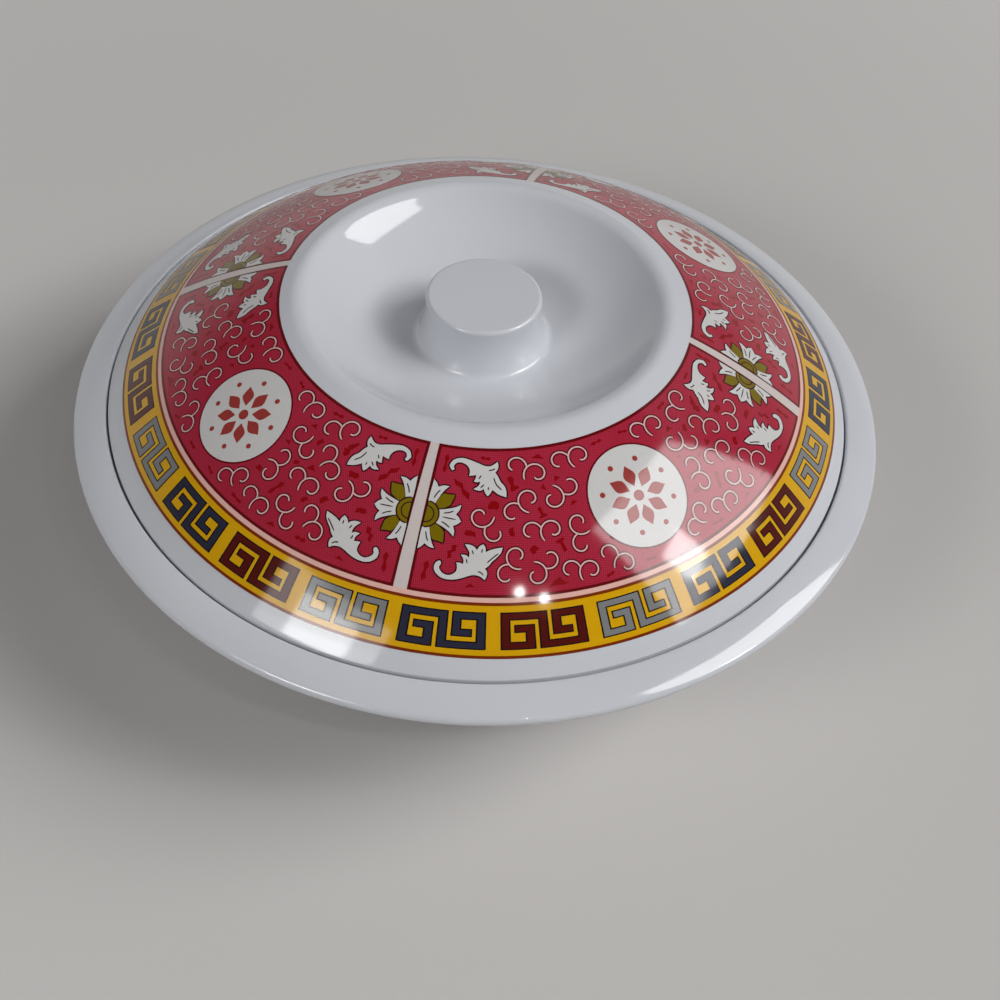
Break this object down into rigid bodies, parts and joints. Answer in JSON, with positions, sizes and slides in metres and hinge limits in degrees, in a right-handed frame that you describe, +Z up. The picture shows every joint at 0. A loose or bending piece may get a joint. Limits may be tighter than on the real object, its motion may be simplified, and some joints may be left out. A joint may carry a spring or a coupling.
{
  "type": "covered serving bowl",
  "caption": "Round melamine serving bowl with a wide rim and foot ring, and a loose domed lid with a printed border and a knob in a round recess.",
  "frame": {"origin": "centre of the foot ring's underside, on the table", "axes": "+Z up along the axis of the bowl and lid"},
  "size_m": [0.24, 0.24, 0.0955],
  "materials": {
    "white_melamine": "moulded melamine, glossy",
    "printed_foil": "printed melamine foil, glossy"
  },
  "bodies": {
    "bowl": {"bowl": "white_melamine"},
    "lid": {"lid": "white_melamine", "lid_print": "printed_foil"}
  },
  "joints": [
    {"name": "lid_lift", "type": "slide", "parent": "bowl", "child": "lid", "axis": [0, 0, 1], "range_m": [0, 0.15]}
  ]
}
